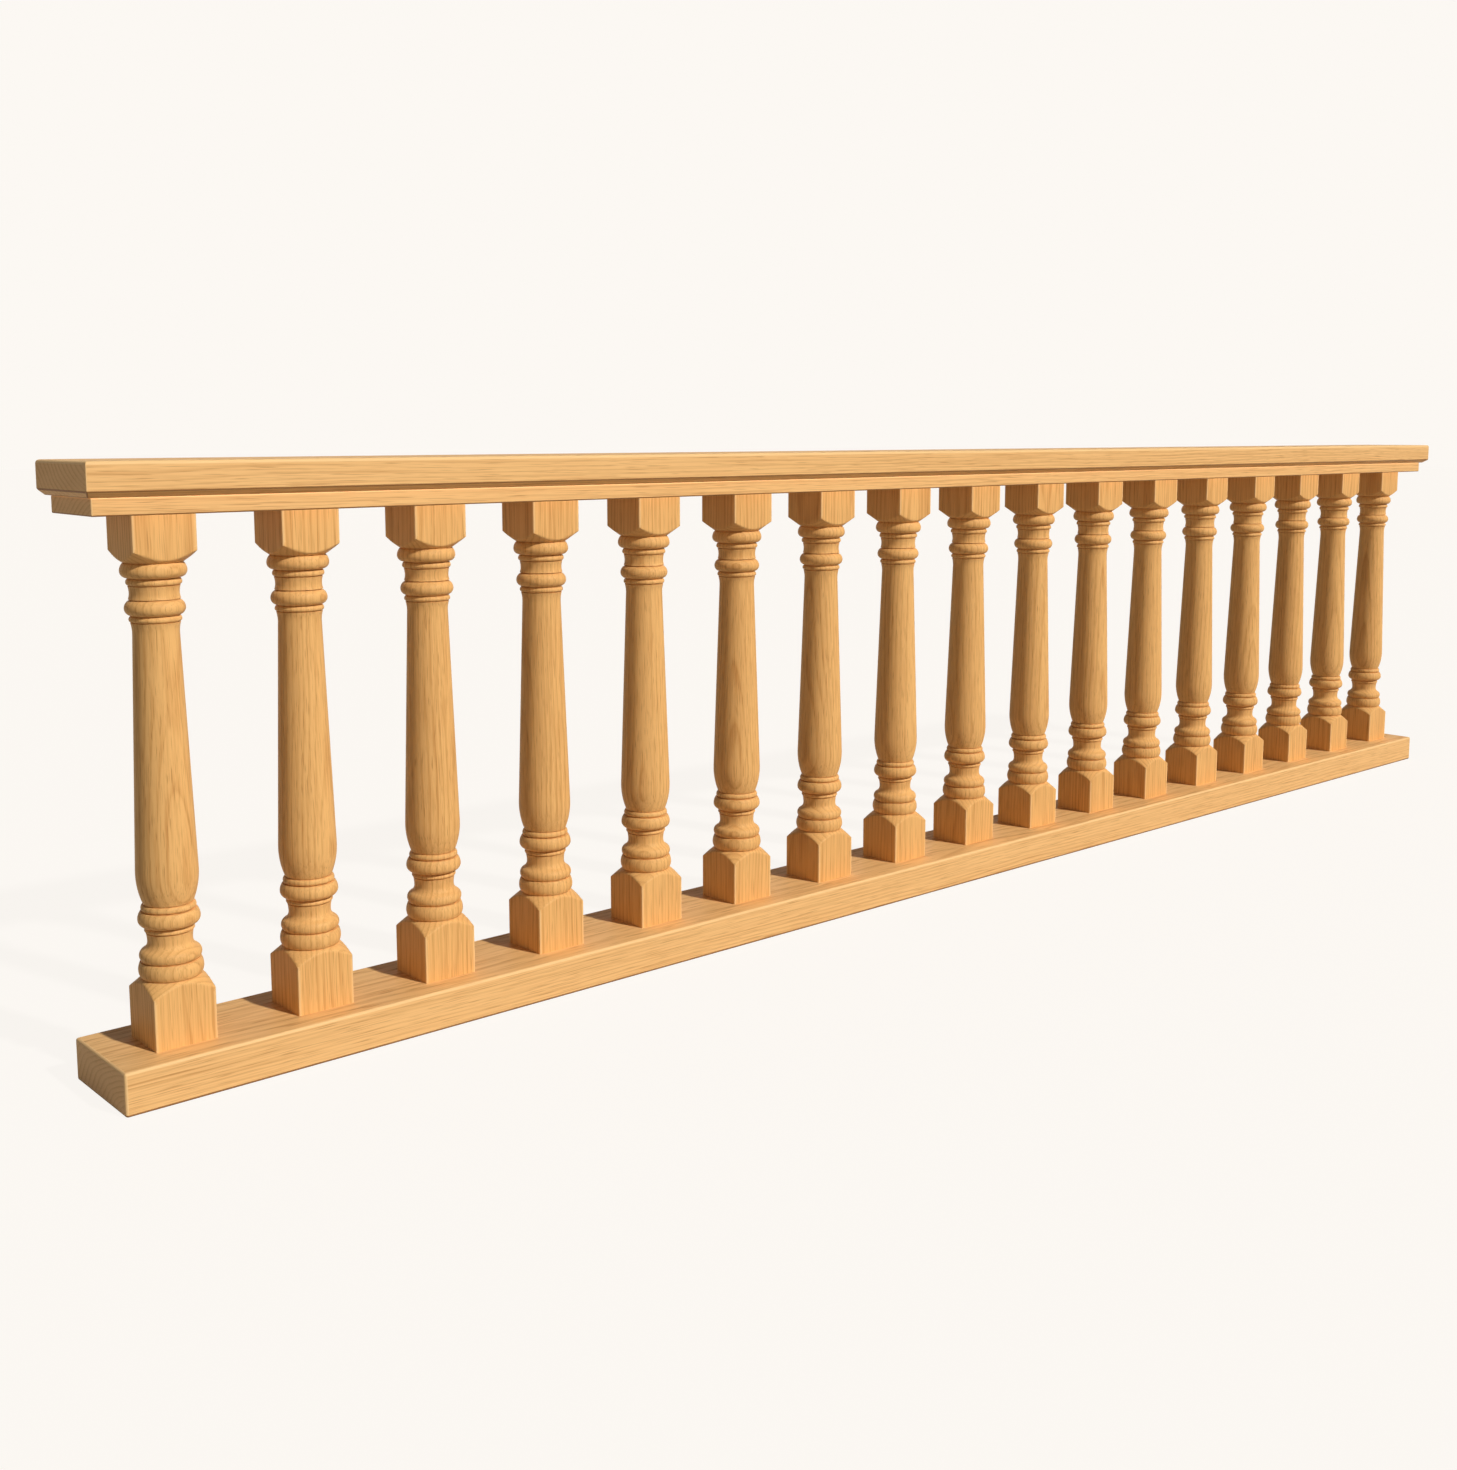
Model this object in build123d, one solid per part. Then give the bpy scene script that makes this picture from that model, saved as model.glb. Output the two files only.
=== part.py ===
"""Wooden balustrade: turned balusters between a bottom rail and a two-piece handrail.

Millimetres, +Z up. X runs along the rails and Y across them. The origin is on the floor, in the
middle of the bottom rail's underside.
"""
from build123d import *
import math
import os

# Balusters along the rails: each stands in the middle of its own length of rail
baluster_count = 17
baluster_pitch = 220.0

# Bottom rail: a plain board with eased edges
bottom_rail_width = 184.0
bottom_rail_height = 64.0
bottom_rail_edge_radius = 4.0

# Sub-rail: the strip under the handrail that the balusters run up to
sub_rail_width = 148.0
sub_rail_height = 25.0
sub_rail_edge_radius = 2.0

# Cap rail: a board that overhangs the sub-rail all round, bevelled below, more steeply at its ends,
# and rounded above
cap_height = 49.0
cap_side_overhang = 20.0
cap_end_overhang = 12.0
cap_bevel_height = 8.0
cap_side_bevel_depth = 14.0
cap_end_bevel_depth = 6.0
cap_edge_radius = 5.0

# Baluster: square stock, left square at both ends and turned between them
baluster_height = 762.0
block_width = 92.0
block_edge_radius = 2.0
lower_block_height = 75.0
lower_shoulder_height = 19.0
upper_block_height = 52.0
upper_shoulder_height = 18.0

# Turned members from the foot up to the shaft. A bead, ring or disc has a straight side, and each
# of its two edges is rounded by its own radius.
foot_disc_height = 24.0
foot_disc_diameter = 91.0
foot_disc_lower_rounding = 3.0
foot_disc_upper_rounding = 3.0
foot_bead_height = 18.0
foot_bead_diameter = 87.0
foot_bead_lower_rounding = 3.0
foot_bead_upper_rounding = 5.5
scotia_height = 11.0
scotia_neck_diameter = 63.0
scotia_flare_height = 13.0
scotia_flare_diameter = 66.0
scotia_ring_height = 8.0
scotia_ring_diameter = 70.0
scotia_ring_rounding = 2.0
lower_bead_height = 24.0
lower_bead_diameter = 87.0
lower_bead_lower_rounding = 9.0
lower_bead_upper_rounding = 4.0
lower_ring_height = 10.0
lower_ring_diameter = 77.0
lower_ring_rounding = 2.0

# Shaft: swells to a belly above its rounded foot, and flares a little under the upper ring
shaft_foot_height = 50.0
shaft_foot_diameter = 70.0
shaft_belly_diameter = 87.0
shaft_top_diameter = 64.0
shaft_flare_height = 16.0
shaft_flare_diameter = 68.0

# Turned members from the shaft up to the upper block
upper_ring_height = 9.0
upper_ring_diameter = 72.0
upper_ring_rounding = 2.0
upper_bead_height = 23.0
upper_bead_diameter = 83.0
upper_bead_rounding = 7.0
neck_height = 20.0
neck_edge_diameter = 71.0
neck_diameter = 68.0
neck_ring_height = 10.0
neck_ring_diameter = 76.0
neck_ring_rounding = 2.0
top_bead_height = 22.0
top_bead_diameter = 91.0
top_bead_lower_rounding = 8.0
top_bead_upper_rounding = 4.0

# How far the turning cut runs past the corners of the square stock
turning_overrun = 8.0

rail_length = baluster_count * baluster_pitch
cap_length = rail_length + 2 * cap_end_overhang
cap_width = sub_rail_width + 2 * cap_side_overhang
baluster_foot_z = bottom_rail_height
sub_rail_z = baluster_foot_z + baluster_height
cap_z = sub_rail_z + sub_rail_height


def board(length, width, height, foot_z):
    """A board centred on the origin, with its underside at foot_z."""
    return Pos(0, 0, foot_z) * Box(length, width, height, align=(Align.CENTER, Align.CENTER, Align.MIN))


def make_bottom_rail():
    """The board that the balusters stand on."""
    rail = board(rail_length, bottom_rail_width, bottom_rail_height, 0)
    return fillet(rail.edges(), bottom_rail_edge_radius)


def make_sub_rail():
    """The strip that closes the balusters' tops."""
    rail = board(rail_length, sub_rail_width, sub_rail_height, sub_rail_z)
    return fillet(rail.edges(), sub_rail_edge_radius)


def make_cap_rail():
    """The handrail board: bevelled all round below, rounded all round above."""
    brim_z = cap_z + cap_bevel_height
    foot_length = cap_length - 2 * cap_end_bevel_depth
    foot_width = cap_width - 2 * cap_side_bevel_depth
    foot = Pos(0, 0, cap_z) * Rectangle(foot_length, foot_width)
    brim = Pos(0, 0, brim_z) * Rectangle(cap_length, cap_width)
    cap = loft([foot, brim]) + board(cap_length, cap_width, cap_height - cap_bevel_height, brim_z)
    return fillet(cap.faces().sort_by(Axis.Z)[-1].edges(), cap_edge_radius)


class TurnedOutline:
    """Half the outline of a turned piece, drawn upwards as radius and height."""

    def __init__(self):
        self.edges = []
        self.radius = 0.0
        self.height = 0.0

    def line_to(self, radius, height):
        """A straight cut from where the outline is; nothing where it is there already."""
        if (radius, height) != (self.radius, self.height):
            self.add(Line((self.radius, self.height), (radius, height)), radius, height)

    def add(self, edge, radius, height):
        """Keeps an edge and moves on to its end."""
        self.edges.append(edge)
        self.radius = radius
        self.height = height

    def band(self, height, diameter, lower_rounding, upper_rounding):
        """One bead, ring or disc: a straight side with two rounded edges."""
        side = diameter / 2
        foot = self.height
        head = foot + height
        self.line_to(side - lower_rounding, foot)
        self.curve_to(side, foot + lower_rounding, (1, 0))
        self.line_to(side, head - upper_rounding)
        self.curve_to(side - upper_rounding, head, (0, 1))

    def hollow(self, height, edge_diameter, diameter):
        """A shallow hollow, narrowest at half its height."""
        foot = (edge_diameter / 2, self.height)
        middle = (diameter / 2, self.height + height / 2)
        head = (edge_diameter / 2, self.height + height)
        self.line_to(*foot)
        self.add(ThreePointArc(foot, middle, head), *head)

    def curve_to(self, radius, height, heading):
        """An arc that leaves in the direction given as (radius, height)."""
        arc = TangentArc((self.radius, self.height), (radius, height), tangent=heading)
        self.add(arc, radius, height)

    def curve_into(self, radius, height, heading):
        """An arc that arrives from the direction given as (radius, height)."""
        arc = TangentArc((radius, height), (self.radius, self.height), tangent=heading)
        self.add(arc, radius, height)

    def revolved(self):
        """The solid, closed along the axis."""
        self.line_to(0.0, self.height)
        self.line_to(0.0, 0.0)
        return revolve(Plane.XZ * make_face(self.edges), axis=Axis.Z)


def make_baluster():
    """One baluster on the origin: the square stock, cut by the turning."""
    stock = Box(block_width, block_width, baluster_height, align=(Align.CENTER, Align.CENTER, Align.MIN))
    stock = fillet(stock.edges().filter_by(Axis.Z), block_edge_radius)

    corner_radius = block_width / math.sqrt(2)
    reach = corner_radius + turning_overrun
    shoulder_radius = foot_disc_diameter / 2 - foot_disc_lower_rounding
    shoulder_slope = lower_shoulder_height / (corner_radius - shoulder_radius)
    turning = TurnedOutline()
    turning.line_to(reach, 0.0)
    turning.line_to(reach, lower_block_height - turning_overrun * shoulder_slope)
    turning.line_to(shoulder_radius, lower_block_height + lower_shoulder_height)

    turning.band(foot_disc_height, foot_disc_diameter, foot_disc_lower_rounding, foot_disc_upper_rounding)
    turning.band(foot_bead_height, foot_bead_diameter, foot_bead_lower_rounding, foot_bead_upper_rounding)
    turning.curve_into(scotia_neck_diameter / 2, turning.height + scotia_height, (0, -1))
    turning.curve_to(scotia_flare_diameter / 2, turning.height + scotia_flare_height, (0, 1))
    turning.band(scotia_ring_height, scotia_ring_diameter, scotia_ring_rounding, scotia_ring_rounding)
    turning.band(lower_bead_height, lower_bead_diameter, lower_bead_lower_rounding, lower_bead_upper_rounding)
    turning.band(lower_ring_height, lower_ring_diameter, lower_ring_rounding, lower_ring_rounding)

    above_shaft = upper_ring_height + upper_bead_height + neck_height + neck_ring_height
    above_shaft += top_bead_height + upper_shoulder_height + upper_block_height
    belly = (shaft_belly_diameter / 2, turning.height + shaft_foot_height)
    shaft_top = (shaft_top_diameter / 2, baluster_height - above_shaft - shaft_flare_height)
    taper = (shaft_top[0] - belly[0], shaft_top[1] - belly[1])
    turning.line_to(shaft_foot_diameter / 2, turning.height)
    turning.curve_into(*belly, (-taper[0], -taper[1]))
    turning.line_to(*shaft_top)
    turning.curve_to(shaft_flare_diameter / 2, turning.height + shaft_flare_height, taper)

    turning.band(upper_ring_height, upper_ring_diameter, upper_ring_rounding, upper_ring_rounding)
    turning.band(upper_bead_height, upper_bead_diameter, upper_bead_rounding, upper_bead_rounding)
    turning.hollow(neck_height, neck_edge_diameter, neck_diameter)
    turning.band(neck_ring_height, neck_ring_diameter, neck_ring_rounding, neck_ring_rounding)
    turning.band(top_bead_height, top_bead_diameter, top_bead_lower_rounding, top_bead_upper_rounding)

    upper_shoulder_slope = upper_shoulder_height / (corner_radius - turning.radius)
    corner_z = baluster_height - upper_block_height
    turning.line_to(reach, corner_z + turning_overrun * upper_shoulder_slope)
    turning.line_to(reach, baluster_height)
    return stock & turning.revolved()


os.makedirs("parts", exist_ok=True)
export_step(make_bottom_rail(), "parts/bottom_rail.step")
export_step(make_sub_rail(), "parts/sub_rail.step")
export_step(make_cap_rail(), "parts/cap_rail.step")
baluster = make_baluster()
for number in range(baluster_count):
    place_x = (number - (baluster_count - 1) / 2) * baluster_pitch
    export_step(Pos(place_x, 0, baluster_foot_z) * baluster, f"parts/baluster_{number + 1:02d}.step")
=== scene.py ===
# %% [markdown]
# # A turned wooden balustrade
# This lesson dresses a balustrade: a row of turned balusters between a bottom rail and a
# two-piece handrail, all in light oak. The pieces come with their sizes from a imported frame, so
# nothing here moves or resizes them. What the lesson adds is what the eye looks for in joinery:
# eased edges, which a joiner calls arrises, crisp turned beads, and timber whose rings and pores run
# right through each piece.

# %% Load the frame and keep its box
import math

import bmesh
import bpy
from mathutils import Matrix, Vector


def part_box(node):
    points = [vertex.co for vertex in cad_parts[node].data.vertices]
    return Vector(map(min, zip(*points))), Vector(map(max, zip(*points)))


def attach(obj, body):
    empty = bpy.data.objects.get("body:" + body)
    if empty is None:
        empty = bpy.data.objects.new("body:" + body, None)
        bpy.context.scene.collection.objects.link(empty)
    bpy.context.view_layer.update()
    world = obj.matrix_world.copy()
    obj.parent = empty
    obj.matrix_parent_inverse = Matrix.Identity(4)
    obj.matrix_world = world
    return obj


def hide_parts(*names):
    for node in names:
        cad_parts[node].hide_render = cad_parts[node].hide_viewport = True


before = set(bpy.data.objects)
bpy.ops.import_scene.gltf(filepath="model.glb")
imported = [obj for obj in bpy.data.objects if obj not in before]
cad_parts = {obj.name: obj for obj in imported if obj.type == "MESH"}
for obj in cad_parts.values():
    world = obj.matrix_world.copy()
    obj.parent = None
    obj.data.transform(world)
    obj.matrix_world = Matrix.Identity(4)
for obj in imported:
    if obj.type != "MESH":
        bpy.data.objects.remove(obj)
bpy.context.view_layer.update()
print("frame nodes:", len(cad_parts))

# %% [markdown]
# ## Reading sizes from the frame
# Every size below is read from the boxes of the frame's nodes, so the dressed pieces follow the
# construction. The balusters are numbered along the rail, and the gap between the first two
# middles is the pitch that the whole row keeps. One more length serves the whole lesson: points closer
# together than the seam gap count as one.

# %% Measure the balusters
SEAM_GAP = 0.00001
FULL_TURN = 2 * math.pi
CORNERS = 4
baluster_nodes = sorted(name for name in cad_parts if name.startswith("baluster_"))
baluster_middles = [sum(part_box(name), Vector()) / 2 for name in baluster_nodes]
baluster_pitch = baluster_middles[1].x - baluster_middles[0].x
first_low, first_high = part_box(baluster_nodes[0])
stock_width = first_high.x - first_low.x
baluster_foot = first_low.z
baluster_height = first_high.z - first_low.z
print("balusters:", len(baluster_nodes))
print("pitch", round(baluster_pitch, 4), "stock", round(stock_width, 4))

# %% [markdown]
# ## Sums with sockets
# Shaders and Geometry Nodes are full of small sums, and a tree of Math nodes is hard to read back.
# One small class wraps a node's output, so that `1 - mask` or `x * x + y * y` in Python adds the
# nodes. Its `node` method adds any other kind: the type, then its settings, then its sockets.


# %% A socket that Python can do sums with
class Wire:
    """A node's output that Python can do sums with: each sum adds a node to its tree."""

    def __init__(self, tree, socket=None):
        self.tree = tree
        self.socket = socket

    def node(self, kind, settings=None, inputs=None, output=0):
        """Adds any node and returns one of its outputs, if it has any."""
        made = self.tree.nodes.new(kind)
        for name, value in (settings or {}).items():
            if name == "stops":
                set_stops(made.color_ramp, value)
            else:
                setattr(made, name, value)
        for name, value in (inputs or {}).items():
            if isinstance(value, Wire):
                self.tree.links.new(value.socket, made.inputs[name])
            else:
                made.inputs[name].default_value = value
        return Wire(self.tree, made.outputs[output]) if made.outputs else None

    def other(self, output):
        """Another output of the same node."""
        return Wire(self.tree, self.socket.node.outputs[output])

    def maths(self, operation, first, second=0.0):
        """One Math node."""
        return self.node("ShaderNodeMath", {"operation": operation}, {0: first, 1: second})

    def __add__(self, other):
        return self.maths("ADD", self, other)

    def __radd__(self, other):
        return self.maths("ADD", other, self)

    def __sub__(self, other):
        return self.maths("SUBTRACT", self, other)

    def __rsub__(self, other):
        return self.maths("SUBTRACT", other, self)

    def __mul__(self, other):
        return self.maths("MULTIPLY", self, other)

    def __rmul__(self, other):
        return self.maths("MULTIPLY", other, self)

    def __truediv__(self, other):
        return self.maths("DIVIDE", self, other)

    def __rtruediv__(self, other):
        return self.maths("DIVIDE", other, self)

    def __pow__(self, other):
        return self.maths("POWER", self, other)

    def __mod__(self, other):
        return self.maths("FLOORED_MODULO", self, other)

    def __gt__(self, other):
        return self.maths("GREATER_THAN", self, other)

    def __lt__(self, other):
        return self.maths("LESS_THAN", self, other)

    def one(self, operation):
        """A Math node of one value, such as SINE, FLOOR or SQRT."""
        return self.maths(operation, self)

    def least(self, other):
        """The smaller of the two."""
        return self.maths("MINIMUM", self, other)

    def most(self, other):
        """The larger of the two."""
        return self.maths("MAXIMUM", self, other)


def set_stops(ramp, stops):
    """Gives a colour ramp its stops, as (place, grey) pairs."""
    while len(ramp.elements) > len(stops):
        ramp.elements.remove(ramp.elements[-1])
    while len(ramp.elements) < len(stops):
        ramp.elements.new(1.0)
    for element, (place, grey) in zip(ramp.elements, stops):
        element.position = place
        element.color = (grey, grey, grey, 1.0)


print("socket sums ready")

# %% [markdown]
# ## The timber
# Oak is a bundle of long fibres laid down in yearly rings round the tree's middle, the pith. A
# picture of a board would stretch over the turned beads, so the timber here is solid: every point
# asks how far it is from a pith that runs along the piece, off to one side. Where a bead or a belly
# cuts through the rings, the long pointed figures of real turned work appear by themselves.
# Wobble bends the rings, fine noise drawn out along the grain makes fibres, and a finer one,
# cut off at a threshold, makes the short dark pores. All noise is slanted a little against the
# faces, because a noise in step with a flat face shows its own lattice there. Where the cut runs
# across the grain, fibres and pores are quieter. Last come the edges: each mesh carries an attribute
# named arris, one on an eased edge, where a paler colour is a painted highlight, and minus one on an
# edge that looks down, where a dark colour is painted shade.

# %% Colours and waves of the oak
BALUSTER_WOOD = (0.845, 0.474, 0.166, 1.0)
BALUSTER_LATE_WOOD = (0.560, 0.245, 0.064, 1.0)
RAIL_WOOD = (0.880, 0.520, 0.208, 1.0)
RAIL_LATE_WOOD = (0.580, 0.270, 0.080, 1.0)
PORE_WOOD = (0.400, 0.165, 0.042, 1.0)
# A paler colour on eased edges: a painted highlight where the edges catch the light
PAINTED_HIGHLIGHT_WOOD = (0.930, 0.600, 0.270, 1.0)
PAINTED_HIGHLIGHT_SHARE = 0.75
# A dark colour on edges that look down: painted shade
PAINTED_SHADE_WOOD = (0.300, 0.125, 0.038, 1.0)
PAINTED_SHADE_SHARE = 0.85
# How dark the timber is from one ring to the next, as (place, grey)
RING_STOPS = ((0.0, 0.40), (0.08, 0.02), (0.55, 0.14), (0.84, 0.80), (0.93, 1.0), (1.0, 0.40))
# Each noise as waves in a metre across the grain, waves along it, and detail
WOBBLE_WAVES = (5.0, 1.3, 2.0)
YEAR_WAVES = (24.0, 0.8, 1.0)
DEPTH_WAVES = (40.0, 2.0, 1.0)
FIBRE_WAVES = (360.0, 5.0, 4.0)
PORE_WAVES = (620.0, 18.0, 1.0)
TONE_WAVES = (12.0, 0.8, 1.0)
NOISE_MIDDLE = 0.5
SWAY_SHIFT = 9.0
YEAR_SWAY = 1.6
FIBRE_WEIGHT = 1.45
TONE_WEIGHT = 0.4
FIGURE_FLOOR = 0.05
PORE_START = 0.58
PORE_SLOPE = 7.0
PORE_SHARE = 0.50
PORE_DENT_SHARE = 0.5
END_GRAIN_SHARE = 0.75
GRAIN_SLANT_SHARE = 0.27
GRAIN_DEPTH = 0.0004
GRAIN_BUMP = 0.20
ROUGHNESS = 0.52
FIGURE_ROUGHNESS = 0.10
PORE_ROUGHNESS = 0.15
SPECULAR = 0.12
print("pale wood of the balusters", BALUSTER_WOOD[:3], "and of the rails", RAIL_WOOD[:3])


# %% Oak as a solid texture
def grain_noise(u, v, w, waves):
    """Noise drawn out along the grain."""
    across, along, detail = waves
    first, second = u * across, v * across
    slanted = {0: first + second * GRAIN_SLANT_SHARE, 1: second - first * GRAIN_SLANT_SHARE,
               2: w * along + (first + second) * GRAIN_SLANT_SHARE}
    drawn_out = u.node("ShaderNodeCombineXYZ", {}, slanted)
    return u.node("ShaderNodeTexNoise", {}, {"Vector": drawn_out, "Scale": 1.0, "Detail": detail})


def mix_colours(factor, first, second):
    """A colour between two, by a factor."""
    return factor.node("ShaderNodeMix", {"data_type": "RGBA"}, {0: factor, 6: first, 7: second}, 2)


def oak(name, grain, grain_axis, early_wood, late_wood, figure_share, ring_spacing, wobble_reach):
    """Solid oak; grain gives two places across the grain, one along it, the pith's place and a shift."""
    material = bpy.data.materials.new(name)
    material.use_nodes = True
    tree = material.node_tree
    tree.nodes.clear()
    place = Wire(tree).node("ShaderNodeTexCoord", output="Object")
    x = place.node("ShaderNodeSeparateXYZ", {}, {0: place})
    u, v, w, pith_u, pith_v, shift = grain(x, x.other("Y"), x.other("Z"))
    w = w + shift

    wobble = grain_noise(u, v, w, WOBBLE_WAVES) - NOISE_MIDDLE
    sway = grain_noise(u, v, w + SWAY_SHIFT, WOBBLE_WAVES) - NOISE_MIDDLE
    off_u = u - pith_u + wobble * wobble_reach
    off_v = v - pith_v + sway * wobble_reach
    reach = (off_u * off_u + off_v * off_v).one("SQRT")
    year = grain_noise(u, v, w, YEAR_WAVES)
    ring = (reach / ring_spacing + year * YEAR_SWAY) % 1.0
    late = ring.node("ShaderNodeValToRGB", {"stops": RING_STOPS}, {0: ring})
    depth = grain_noise(u, v, w, DEPTH_WAVES)
    fibre = grain_noise(u, v, w, FIBRE_WAVES)
    fine = grain_noise(u, v, w, PORE_WAVES)
    normal = place.node("ShaderNodeNewGeometry", output="Normal")
    end_on = place.node("ShaderNodeSeparateXYZ", {}, {0: normal}, grain_axis).one("ABSOLUTE")
    side_on = 1.0 - end_on * END_GRAIN_SHARE
    pore = ((fine - PORE_START) * PORE_SLOPE).most(0.0).least(1.0) * side_on
    tone = grain_noise(u, v, w, TONE_WAVES)

    figure = late * depth * figure_share + (fibre - NOISE_MIDDLE) * side_on * FIBRE_WEIGHT
    figure = figure + (tone - NOISE_MIDDLE) * TONE_WEIGHT + FIGURE_FLOOR
    figure = figure.most(0.0).least(1.0)
    timber = mix_colours(figure, early_wood, late_wood)
    porous = mix_colours(pore * PORE_SHARE, timber, PORE_WOOD)
    arris = place.node("ShaderNodeAttribute", {"attribute_name": "arris"}, output="Fac")
    # Painted highlight on eased edges, then painted shade on edges that look down
    eased = mix_colours(arris.most(0.0) * PAINTED_HIGHLIGHT_SHARE, porous, PAINTED_HIGHLIGHT_WOOD)
    colour = mix_colours((arris * -1.0).most(0.0) * PAINTED_SHADE_SHARE, eased, PAINTED_SHADE_WOOD)
    relief = {"Strength": GRAIN_BUMP, "Distance": GRAIN_DEPTH, "Height": fibre - pore * PORE_DENT_SHARE}
    bump = place.node("ShaderNodeBump", {}, relief)
    roughness = ROUGHNESS + figure * FIGURE_ROUGHNESS + pore * PORE_ROUGHNESS
    sockets = {"Base Color": colour, "Roughness": roughness, "Normal": bump, "Specular IOR Level": SPECULAR}
    surface = colour.node("ShaderNodeBsdfPrincipled", {}, sockets)
    colour.node("ShaderNodeOutputMaterial", {}, {"Surface": surface})
    return material


print("oak ready")

# %% [markdown]
# Each baluster is turned from its own stave, so its pith lies in its own direction. The material
# finds which baluster a point belongs to by rounding its place along the rail to the pitch, and
# draws that stave's luck from White Noise. The rails need no luck: their piths are given, out
# in front and below or above the board, and their rings are flattened, so that long, nearly straight
# lines show on the front edges and on the tops alike.

# %% Grain of the balusters and of the rails
STAVE_PITH = 0.105
STAVE_SEED = 4.3
STAVE_SHIFT = 3.7
RAIL_FLAT_SHARE = 0.4


def up_baluster(x, y, z):
    """Grain up a baluster, with a pith of its own for each."""
    number = (x / baluster_pitch).one("ROUND")
    luck = number.node("ShaderNodeTexWhiteNoise", {"noise_dimensions": "1D"}, {"W": number + STAVE_SEED})
    angle = luck * FULL_TURN
    pith_u = angle.one("COSINE") * STAVE_PITH
    pith_v = angle.one("SINE") * STAVE_PITH
    return x - number * baluster_pitch, y, z, pith_u, pith_v, number * STAVE_SHIFT


def along_rail(node, pith_y, pith_drop, shift):
    """Grain along a rail; the pith is pith_y from its middle and pith_drop below it."""
    middle = sum(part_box(node), Vector()) / 2

    def grain(x, y, z):
        return y * RAIL_FLAT_SHARE, z - middle.z, x, pith_y * RAIL_FLAT_SHARE, -pith_drop, shift

    return grain


print("grain set up and along")

# %% The finishes
BALUSTER_FIGURE_SHARE = 0.80
BALUSTER_RING_SPACING = 0.0085
BALUSTER_WOBBLE_REACH = 0.055
RAIL_FIGURE_SHARE = 0.75
RAIL_RING_SPACING = 0.0055
RAIL_WOBBLE_REACH = 0.035
# The pith's place across each rail and below its middle, and a shift along it
RAIL_PITHS = {"bottom_rail": (-0.16, 0.045, 2.0),
              "sub_rail": (-0.21, 0.06, 13.0),
              "cap_rail": (-0.19, -0.05, 27.0)}

baluster_oak = oak("baluster_oak", up_baluster, "Z", BALUSTER_WOOD, BALUSTER_LATE_WOOD,
                   BALUSTER_FIGURE_SHARE, BALUSTER_RING_SPACING, BALUSTER_WOBBLE_REACH)
rail_oaks = {}
for node, pith in RAIL_PITHS.items():
    rail_oaks[node] = oak(node + "_oak", along_rail(node, *pith), "X", RAIL_WOOD, RAIL_LATE_WOOD,
                          RAIL_FIGURE_SHARE, RAIL_RING_SPACING, RAIL_WOBBLE_REACH)
print("finishes:", [finish.name for finish in (baluster_oak, *rail_oaks.values())])

# %% [markdown]
# ## The turned outline
# A turner works from the block at one end to the block at the other, with a gauge for each bead and
# ring. The outline is written the same way: a member is a height, a diameter and how far it draws in at
# its lower and upper end, all as shares of the square stock. Only the shaft has no height of its own: it
# takes up what the rest leaves. Between members the tool leaves a quirk, a narrow groove, and it is the
# shadow in the quirks that makes turned work look crisp.

# %% Members of the turning, from the foot up
STOCK_GAUGE = 92


def gauge(*sizes):
    """Sizes read off a gauge for stock 92 wide, as shares of the stock."""
    return tuple(size / STOCK_GAUGE for size in sizes)


FOOT_BLOCK_SHARE, FOOT_SHOULDER_SHARE = gauge(75, 19)
HEAD_BLOCK_SHARE, HEAD_SHOULDER_SHARE = gauge(52, 18)
FOOT_DISC_SHARES = gauge(24, 91, 3, 3)
FOOT_BEAD_SHARES = gauge(18, 87, 3, 5.5)
SCOTIA_SHARES = gauge(11, 63)
SCOTIA_FLARE_SHARES = gauge(13, 66)
SCOTIA_RING_SHARES = gauge(8, 70, 2, 2)
LOWER_BEAD_SHARES = gauge(24, 87, 9, 4)
LOWER_RING_SHARES = gauge(10, 77, 2, 2)
SHAFT_FOOT_SHARES = gauge(50, 70, 87)
SHAFT_FLARE_SHARES = gauge(16, 64, 68)
UPPER_RING_SHARES = gauge(9, 72, 2, 2)
UPPER_BEAD_SHARES = gauge(23, 83, 7, 7)
NECK_SHARES = gauge(20, 71, 68)
NECK_RING_SHARES = gauge(10, 76, 2, 2)
TOP_BEAD_SHARES = gauge(22, 91, 8, 4)
QUIRK_SHARES = gauge(1.5, 2.2)
ABOVE_SHAFT = (UPPER_RING_SHARES, UPPER_BEAD_SHARES, NECK_SHARES, NECK_RING_SHARES, TOP_BEAD_SHARES)
ROUND_STEPS = 7
CURVE_STEPS = 10
BELLY_STEPS = 16
SHAFT_STEPS = 12
SHOULDER_STEPS = 18
BLOCK_STEPS = 4
OVERRUN_SHARE = 8 / STOCK_GAUGE
print("members above the shaft:", len(ABOVE_SHAFT))


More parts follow.
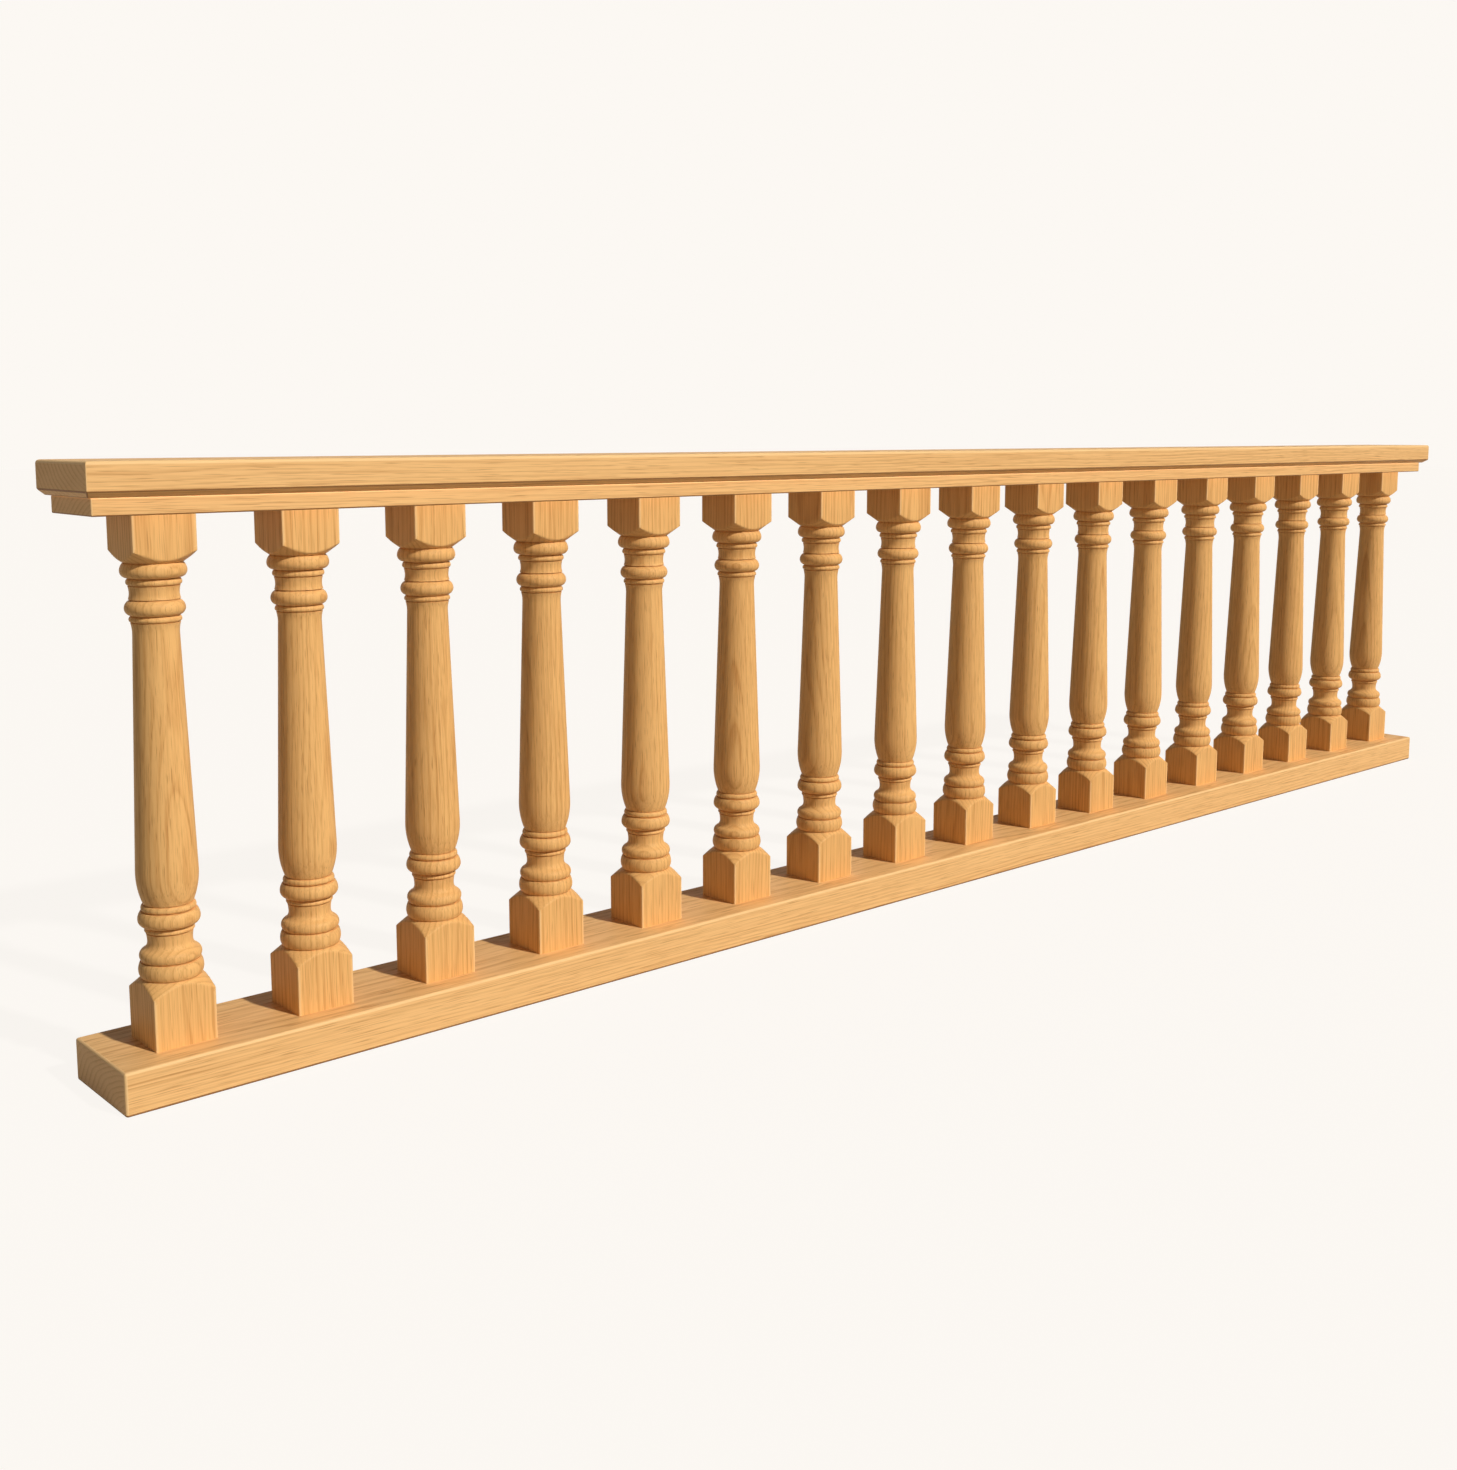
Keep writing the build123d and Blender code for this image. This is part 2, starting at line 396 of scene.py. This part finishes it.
# %% The outline, cut by cut
class Outline:
    """Half the outline of the turning, from the foot up, as radius and height in metres."""

    def __init__(self, stock):
        self.points = [Vector((0.0, 0.0))]
        self.quirk_width, self.quirk_depth = (share * stock for share in QUIRK_SHARES)

    @property
    def here(self):
        return self.points[-1]

    def line(self, radius, height, steps=1):
        """A straight cut; nothing where the outline is there already."""
        start, end = self.here, Vector((radius, height))
        if (end - start).length > SEAM_GAP:
            self.points += [start.lerp(end, (k + 1) / steps) for k in range(steps)]

    def arc(self, radius, height, heading, steps, arriving=False):
        """An arc that leaves in a direction, or arrives with that direction behind it."""
        start, end = self.here, Vector((radius, height))
        if arriving:
            start, end = end, start
        side = Vector((-heading[1], heading[0])).normalized()
        chord = end - start
        reach = chord.length_squared / (2 * chord.dot(side))
        centre = start + side * reach
        first, last = start - centre, end - centre
        sweep = first.angle_signed(last)
        ring = [centre + Matrix.Rotation(-sweep * k / steps, 2) @ first for k in range(steps + 1)]
        self.points += ring[::-1][1:] if arriving else ring[1:]

    def quirk(self, radius):
        """The narrow groove under a member that starts at this radius."""
        foot = self.here.y
        self.line(min(self.here.x, radius) - self.quirk_depth, foot + self.quirk_width / 2)
        self.line(radius, foot + self.quirk_width)

    def band(self, height, diameter, lower_draw, upper_draw):
        """One bead, ring or disc, widest at half its height and rounded off to each end."""
        side = diameter / 2
        foot = self.here.y
        self.quirk(side - lower_draw)
        self.arc(side, foot + height / 2, (0, -1), ROUND_STEPS, arriving=True)
        self.arc(side - upper_draw, foot + height, (0, 1), ROUND_STEPS)

    def hollow(self, height, edge_diameter, diameter):
        """A shallow hollow, narrowest at half its height."""
        foot = self.here.y
        self.quirk(edge_diameter / 2)
        self.arc(diameter / 2, foot + height / 2, (0, -1), ROUND_STEPS, arriving=True)
        self.arc(edge_diameter / 2, foot + height, (0, 1), ROUND_STEPS)


def baluster_outline(stock):
    """The whole outline of one baluster."""

    def sized(shares):
        return [share * stock for share in shares]

    corner = stock / math.sqrt(2)
    overrun = OVERRUN_SHARE * stock
    turning = Outline(stock)

    shoulder = (FOOT_DISC_SHARES[1] / 2 - FOOT_DISC_SHARES[2]) * stock
    slope = FOOT_SHOULDER_SHARE * stock / (corner - shoulder)
    turning.line(corner + overrun, 0.0)
    turning.line(corner + overrun, FOOT_BLOCK_SHARE * stock - overrun * slope, BLOCK_STEPS)
    turning.line(shoulder, (FOOT_BLOCK_SHARE + FOOT_SHOULDER_SHARE) * stock, SHOULDER_STEPS)

    turning.band(*sized(FOOT_DISC_SHARES))
    turning.band(*sized(FOOT_BEAD_SHARES))
    scotia_height, scotia_neck = sized(SCOTIA_SHARES)
    flare_height, flare_diameter = sized(SCOTIA_FLARE_SHARES)
    turning.arc(scotia_neck / 2, turning.here.y + scotia_height, (0, -1), CURVE_STEPS, arriving=True)
    turning.arc(flare_diameter / 2, turning.here.y + flare_height, (0, 1), ROUND_STEPS)
    for member in (SCOTIA_RING_SHARES, LOWER_BEAD_SHARES, LOWER_RING_SHARES):
        turning.band(*sized(member))

    foot_height, foot_diameter, belly_diameter = sized(SHAFT_FOOT_SHARES)
    flare_height, top_diameter, flare_diameter = sized(SHAFT_FLARE_SHARES)
    head = (HEAD_BLOCK_SHARE + HEAD_SHOULDER_SHARE + sum(member[0] for member in ABOVE_SHAFT)) * stock
    belly = Vector((belly_diameter / 2, turning.here.y + foot_height))
    top = Vector((top_diameter / 2, baluster_height - head - flare_height))
    turning.quirk(foot_diameter / 2)
    turning.arc(*belly, belly - top, BELLY_STEPS, arriving=True)
    turning.line(*top, SHAFT_STEPS)
    turning.arc(flare_diameter / 2, top.y + flare_height, top - belly, CURVE_STEPS)

    turning.band(*sized(UPPER_RING_SHARES))
    turning.band(*sized(UPPER_BEAD_SHARES))
    turning.hollow(*sized(NECK_SHARES))
    turning.band(*sized(NECK_RING_SHARES))
    turning.band(*sized(TOP_BEAD_SHARES))

    head_corner = baluster_height - HEAD_BLOCK_SHARE * stock
    head_slope = HEAD_SHOULDER_SHARE * stock / (corner - turning.here.x)
    turning.quirk(turning.here.x)
    turning.line(corner + overrun, head_corner + overrun * head_slope, SHOULDER_STEPS)
    turning.line(corner + overrun, baluster_height, BLOCK_STEPS)
    turning.line(0.0, baluster_height)
    return turning.points


outline = baluster_outline(stock_width)
print("outline points:", len(outline), "highest", round(max(point.y for point in outline), 4))

# %% [markdown]
# ## One baluster as a node tree
# On a lathe the outline sweeps round the axis, and wherever it would cut outside the square stock there
# is no wood. Geometry Nodes can say just that. A grid has one row for each outline point and one column
# for each direction round the axis; every point goes to its radius and angle, and is then pulled back to
# the stock, a square with eased corners. The shoulders, where the round work runs out into the square,
# come from this rule alone. Columns crowd towards the corners, so the arrises stay crisp.

# %% Build the tree
COLUMNS = 80
INDEX_NUDGE = 0.001
CORNER_CROWD_SHARE = 0.82
CORNER_RADIUS_SHARE = 2 / STOCK_GAUGE
SHARP_ANGLE = math.radians(38)


def add_inputs(tree, names):
    """Named inputs of a node tree, as (name, socket type); returns their identifiers."""
    made = [tree.interface.new_socket(name, in_out="INPUT", socket_type=kind) for name, kind in names]
    tree.interface.new_socket("Geometry", in_out="OUTPUT", socket_type="NodeSocketGeometry")
    return {socket.name: socket.identifier for socket in made}


def baluster_tree():
    """The lathe and the square stock, as one tree."""
    tree = bpy.data.node_groups.new("turned_baluster", "GeometryNodeTree")
    names = (("Outline", "NodeSocketGeometry"), ("Stock Width", "NodeSocketFloat"),
             ("Corner Radius", "NodeSocketFloat"), ("Columns", "NodeSocketInt"),
             ("Foot", "NodeSocketVector"), ("Finish", "NodeSocketMaterial"))
    inputs = add_inputs(tree, names)
    given = Wire(tree).node("NodeGroupInput")
    rows = given.node("GeometryNodeAttributeDomainSize", {"component": "MESH"}, {0: given})
    columns = given.other("Columns")
    grid = given.node("GeometryNodeMeshGrid", {}, {"Vertices X": columns + 1, "Vertices Y": rows})
    index = given.node("GeometryNodeInputIndex")
    column = (index / rows + INDEX_NUDGE).one("FLOOR")
    row = index - column * rows
    spot = given.node("GeometryNodeInputPosition")
    sample = {"data_type": "FLOAT_VECTOR", "domain": "POINT"}
    sampled = given.node("GeometryNodeSampleIndex", sample, {"Geometry": given, "Value": spot, "Index": row})
    radius = given.node("ShaderNodeSeparateXYZ", {}, {0: sampled})
    height = radius.other("Z")

    turn = column / columns * FULL_TURN
    crowd = (turn * CORNERS - math.pi).one("SINE") * (CORNER_CROWD_SHARE / CORNERS)
    angle = turn - crowd
    x = radius * angle.one("COSINE")
    y = radius * angle.one("SINE")
    corner = given.other("Corner Radius")
    inner = given.other("Stock Width") / 2 - corner
    inner_x = x.least(inner).most(inner * -1)
    inner_y = y.least(inner).most(inner * -1)
    out_x = x - inner_x
    out_y = y - inner_y
    out = (out_x * out_x + out_y * out_y).one("SQRT")
    keep = (corner / out.most(SEAM_GAP)).least(1.0)
    held = {"X": inner_x + out_x * keep, "Y": inner_y + out_y * keep, "Z": height}
    target = given.node("ShaderNodeCombineXYZ", {}, held)

    # The arris mark on the rounded corners of the stock is where the painted highlight goes
    eased = (out_x.one("ABSOLUTE") > SEAM_GAP) * (out_y.one("ABSOLUTE") > SEAM_GAP)
    marking = {"Geometry": grid, "Name": "arris", "Value": eased * (corner < out + SEAM_GAP)}
    grid = grid.node("GeometryNodeStoreNamedAttribute", {"data_type": "FLOAT", "domain": "POINT"}, marking)
    foot = given.other("Foot")
    turned = grid.node("GeometryNodeSetPosition", {}, {"Geometry": grid, "Position": target, "Offset": foot})
    closed = turned.node("GeometryNodeMergeByDistance", {}, {"Geometry": turned, "Distance": SEAM_GAP})
    smooth = closed.node("GeometryNodeSetShadeSmooth", {"domain": "FACE"}, {"Geometry": closed})
    bend = smooth.node("GeometryNodeInputMeshEdgeAngle")
    crisp = {"Geometry": smooth, "Selection": bend > SHARP_ANGLE, "Shade Smooth": False}
    creased = smooth.node("GeometryNodeSetShadeSmooth", {"domain": "EDGE"}, crisp)
    real = creased.node("GeometryNodeRealizeInstances", {}, {0: creased})
    dressed = real.node("GeometryNodeSetMaterial", {}, {"Geometry": real, "Material": given.other("Finish")})
    dressed.node("NodeGroupOutput", {}, {0: dressed})
    return tree, inputs


lathe, lathe_inputs = baluster_tree()
print("tree", lathe.name, "nodes", len(lathe.nodes))

# %% [markdown]
# ## Turning the row
# The outline goes in as a plain chain of points. For each baluster the modifier gets its sizes and the
# place of its foot, the result is kept as a plain mesh, and the piece takes the place of its node.

# %% From a blank to a baluster
def link(name, mesh):
    """A new object at the origin, shown in the scene."""
    made = bpy.data.objects.new(name, mesh)
    bpy.context.scene.collection.objects.link(made)
    return made


def evaluated_mesh(thing, name):
    """The object's mesh with its modifiers done, as a plain mesh of its own."""
    depsgraph = bpy.context.evaluated_depsgraph_get()
    mesh = bpy.data.meshes.new_from_object(thing.evaluated_get(depsgraph))
    mesh.name = name
    return mesh


def turn_baluster(name, chain, foot):
    """One baluster, turned from the outline and set on its foot."""
    blank = link(name + "_blank", chain)
    modifier = blank.modifiers.new("lathe", "NODES")
    modifier.node_group = lathe
    values = {"Stock Width": stock_width, "Corner Radius": CORNER_RADIUS_SHARE * stock_width,
              "Columns": COLUMNS, "Foot": foot, "Finish": baluster_oak}
    for socket, value in values.items():
        modifier[lathe_inputs[socket]] = value
    mesh = evaluated_mesh(blank, name)
    bpy.data.objects.remove(blank)
    return link(name, mesh)


print("lathe inputs:", list(lathe_inputs))

# %% Make every baluster
chain = bpy.data.meshes.new("outline_chain")
chain_edges = [(k, k + 1) for k in range(len(outline) - 1)]
chain.from_pydata([(point.x, 0.0, point.y) for point in outline], chain_edges, [])
for node, middle in zip(baluster_nodes, baluster_middles):
    piece = turn_baluster("turned_" + node, chain, (middle.x, middle.y, baluster_foot))
    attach(piece, "root")
    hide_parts(node)
check = bmesh.new()
check.from_mesh(piece.data)
open_edges = sum(1 for edge in check.edges if not edge.is_manifold)
triangles = sum(len(face.vertices) - 2 for face in piece.data.polygons)
print("balusters turned:", len(baluster_nodes), "triangles each", triangles)
print("open edges", open_edges, "volume", round(check.calc_volume(signed=True), 6))
check.free()

# %% [markdown]
# ## The rails
# A rail is a planed board with its arrises taken off by hand. Each one starts as stacked rectangles, so
# that the handrail gets its bevelled underside, and the Bevel modifier rounds the edges, by weight, because
# the cap is softer above than below. Hardened normals keep the broad faces flat right up to the rounding.
# The modifier gives the faces it adds a second material slot. That tells which faces are arrises; once
# they are marked, for a painted highlight or, where they look down, for painted shade, the slot goes.

# %% A rail from stacked rectangles
RAIL_SEGMENTS = 4
# Arris faces whose normal points further down than this get painted shade instead of the painted highlight
PAINTED_SHADE_DOWNTURN = -0.1


def rail_mesh(name, low, high, levels):
    """A closed board through stacked rectangles; a level is a height and its insets at the ends and sides."""
    mesh = bpy.data.meshes.new(name)
    shape = bmesh.new()
    corners = ((low.x, low.y), (high.x, low.y), (high.x, high.y), (low.x, high.y))
    signs = ((1, 1), (-1, 1), (-1, -1), (1, -1))
    rings = []
    for height, end_inset, side_inset in levels:
        ring = []
        for (corner_x, corner_y), (sign_x, sign_y) in zip(corners, signs):
            place = (corner_x + sign_x * end_inset, corner_y + sign_y * side_inset, height)
            ring.append(shape.verts.new(place))
        rings.append(ring)
    for below, above in zip(rings, rings[1:]):
        for k in range(CORNERS):
            after = (k + 1) % CORNERS
            shape.faces.new((below[k], below[after], above[after], above[k]))
    shape.faces.new(rings[0][::-1])
    shape.faces.new(rings[-1])
    bmesh.ops.recalc_face_normals(shape, faces=shape.faces)
    shape.to_mesh(mesh)
    shape.free()
    return mesh


def make_rail(node, levels, arris, soft_arris):
    """One rail from its levels, in the place of its node; the arrises round its top are the soft ones."""
    finish = rail_oaks[node]
    low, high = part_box(node)
    rail = link("dressed_" + node, rail_mesh(node, low, high, levels))
    weights = rail.data.attributes.new("bevel_weight_edge", "FLOAT", "EDGE")
    for edge, weight in zip(rail.data.edges, weights.data):
        on_top = all(rail.data.vertices[v].co.z > high.z - SEAM_GAP for v in edge.vertices)
        weight.value = 1.0 if on_top else arris / soft_arris
    bevel = rail.modifiers.new("arris", "BEVEL")
    bevel.width = soft_arris
    bevel.segments = RAIL_SEGMENTS
    bevel.limit_method = "WEIGHT"
    bevel.harden_normals = True
    bevel.material = 1
    for face in rail.data.polygons:
        face.use_smooth = True
    rail.data.materials.append(finish)
    rail.data.materials.append(finish)
    plain = evaluated_mesh(rail, node)
    rail.modifiers.clear()
    rail.data = plain
    eased = plain.attributes.new("arris", "FLOAT", "FACE")
    # Arris faces are marked one for the painted highlight, or minus one for painted shade where they look
    # down
    for face, mark in zip(plain.polygons, eased.data):
        mark.value = face.material_index * (1.0 if face.normal.z > PAINTED_SHADE_DOWNTURN else -1.0)
        face.material_index = 0
    plain.materials.pop()
    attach(rail, "root")
    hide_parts(node)
    print(rail.name, "triangles", sum(len(face.vertices) - 2 for face in plain.polygons))
    return rail


print("rails ready to make:", list(rail_oaks))

# %% Make the three rails
BOTTOM_ARRIS = 0.004
SUB_ARRIS = 0.002
CAP_ARRIS = 0.0015
CAP_SOFT_ARRIS = 0.005
CAP_BEVEL_HEIGHT = 0.008
CAP_SIDE_BEVEL_DEPTH = 0.014
CAP_END_BEVEL_DEPTH = 0.006
bottom_low, bottom_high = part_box("bottom_rail")
sub_low, sub_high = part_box("sub_rail")
cap_low, cap_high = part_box("cap_rail")
bottom_levels = ((bottom_low.z, 0.0, 0.0), (bottom_high.z, 0.0, 0.0))
make_rail("bottom_rail", bottom_levels, BOTTOM_ARRIS, BOTTOM_ARRIS)
sub_levels = ((sub_low.z, 0.0, 0.0), (sub_high.z, 0.0, 0.0))
handrail = [make_rail("sub_rail", sub_levels, SUB_ARRIS, SUB_ARRIS)]
cap_foot = (cap_low.z, CAP_END_BEVEL_DEPTH, CAP_SIDE_BEVEL_DEPTH)
cap_levels = (cap_foot, (cap_low.z + CAP_BEVEL_HEIGHT, 0.0, 0.0), (cap_high.z, 0.0, 0.0))
handrail.append(make_rail("cap_rail", cap_levels, CAP_ARRIS, CAP_SOFT_ARRIS))

# %% [markdown]
# ## Camera
# The picture is taken from in front of one end, a little above the handrail, looking along the row. The
# lens is given by its length in pixels of the picture, which is all that a picture tells of it. The frame
# is shifted down a little instead of tilting the camera further.

# %% Set the camera
FRAME_PIXELS = (1457, 1470)
FOCAL_PIXELS = 1625.9
CAMERA_PLACE = (-2.668, -2.237, 0.938)
CAMERA_TURN = math.radians(41.62)
CAMERA_DIP = math.radians(7.40)
OPTICAL_ROW = 642.7
SENSOR_WIDTH = 36.0

camera_data = bpy.data.cameras.new("camera")
camera_data.sensor_width = SENSOR_WIDTH
camera_data.lens = SENSOR_WIDTH * FOCAL_PIXELS / max(FRAME_PIXELS)
camera_data.shift_y = (OPTICAL_ROW - FRAME_PIXELS[1] / 2) / max(FRAME_PIXELS)
camera = link("camera", camera_data)
camera.location = CAMERA_PLACE
camera.rotation_euler = (math.pi / 2 - CAMERA_DIP, 0.0, -CAMERA_TURN)
bpy.context.scene.camera = camera
print("lens", round(camera_data.lens, 2), "shift", round(camera_data.shift_y, 4))

# %% [markdown]
# ## Floor and light
# The balustrade stands in a pale studio. One key light in front, a little to the right, shapes the beads
# and lays the shadow of each block across the bottom rail. The handrail would put the upper blocks in its
# own shade, which a photographer would lift with a reflector. Here light linking leaves its two boards out
# of what blocks the key. The floor has a key of its own, which the whole balustrade blocks, so the shadow
# there is complete. The world fills the shade, most from low down. To the camera the floor and the world
# are one warm white. A share of the floor still answers to its key, so a soft shadow stays on it.

# %% Floor, world and keys, one function each
PALE = (0.973, 0.939, 0.896, 1.0)
FLOOR_PAINT = (0.85, 0.82, 0.78, 1.0)
FLOOR_THROW = (0.46, 0.437, 0.414, 1.0)
FLOOR_SIZE = 40.0
SHADOW_SHARE = 0.06
FLOOR_GLOW = 1.02
FILL_STRENGTH = 0.41
FILL_FALL = 2.0
KEY_STRENGTH = 3.15
KEY_SIZE = math.radians(2.5)
KEY_RISE = math.radians(38)
KEY_SWING = math.radians(16)


def seen_directly(start):
    """One for camera, glossy and transmission rays, the ones that show a background."""
    path = start.node("ShaderNodeLightPath", output="Is Camera Ray")
    return path.most(path.other("Is Glossy Ray")).most(path.other("Is Transmission Ray"))


def make_floor():
    """A wide pale floor."""
    shape = bmesh.new()
    bmesh.ops.create_grid(shape, x_segments=1, y_segments=1, size=FLOOR_SIZE)
    mesh = bpy.data.meshes.new("floor")
    shape.to_mesh(mesh)
    shape.free()
    material = bpy.data.materials.new("floor_pale")
    material.use_nodes = True
    tree = material.node_tree
    tree.nodes.clear()
    start = Wire(tree)
    thrown = start.node("ShaderNodeBsdfDiffuse", {}, {"Color": FLOOR_THROW})
    lit = start.node("ShaderNodeBsdfDiffuse", {}, {"Color": FLOOR_PAINT})
    glow = start.node("ShaderNodeEmission", {}, {"Color": PALE, "Strength": FLOOR_GLOW})
    shown = start.node("ShaderNodeMixShader", {}, {0: SHADOW_SHARE, 1: glow, 2: lit})
    floor_shader = start.node("ShaderNodeMixShader", {}, {0: seen_directly(start), 1: thrown, 2: shown})
    floor_shader.node("ShaderNodeOutputMaterial", {}, {"Surface": floor_shader})
    mesh.materials.append(material)
    floor = link("floor", mesh)
    return floor


def light_world():
    """Pale to the camera; to everything else a gentle fill that is brightest low down."""
    world = bpy.data.worlds.new("studio")
    bpy.context.scene.world = world
    world.use_nodes = True
    tree = world.node_tree
    tree.nodes.clear()
    start = Wire(tree)
    direction = start.node("ShaderNodeTexCoord", output="Generated")
    rise = direction.node("ShaderNodeSeparateXYZ", {}, {0: direction}, "Z").most(0.0)
    fill = (1.0 - rise) ** FILL_FALL * FILL_STRENGTH
    seen = seen_directly(start)
    strength = seen + fill * (1.0 - seen)
    back = start.node("ShaderNodeBackground", {}, {"Color": PALE, "Strength": strength})
    back.node("ShaderNodeOutputWorld", {}, {"Surface": back})


def gather(name, things):
    """A collection that a lamp can be told to light, or to be blocked by."""
    group = bpy.data.collections.new(name)
    for thing in things:
        group.objects.link(thing)
    return group


def add_key(name, lit, blockers):
    """A far lamp in front and to the right, for the things it lights and the things that block it."""
    data = bpy.data.lights.new(name, "SUN")
    data.energy = KEY_STRENGTH
    data.angle = KEY_SIZE
    lamp = link(name, data)
    lamp.rotation_euler = (math.pi / 2 - KEY_RISE, 0.0, KEY_SWING)
    lamp.light_linking.receiver_collection = gather(name + "_lights", lit)
    lamp.light_linking.blocker_collection = gather(name + "_blockers", blockers)


print("lighting ready")

# %% Light the studio
floor = make_floor()
light_world()
timber = [thing for thing in bpy.context.scene.objects if thing.type == "MESH" and thing != floor]
add_key("timber_key", timber, [thing for thing in timber if thing not in handrail])
add_key("floor_key", [floor], timber)
bpy.context.scene.view_settings.view_transform = "Standard"
print("studio lit")
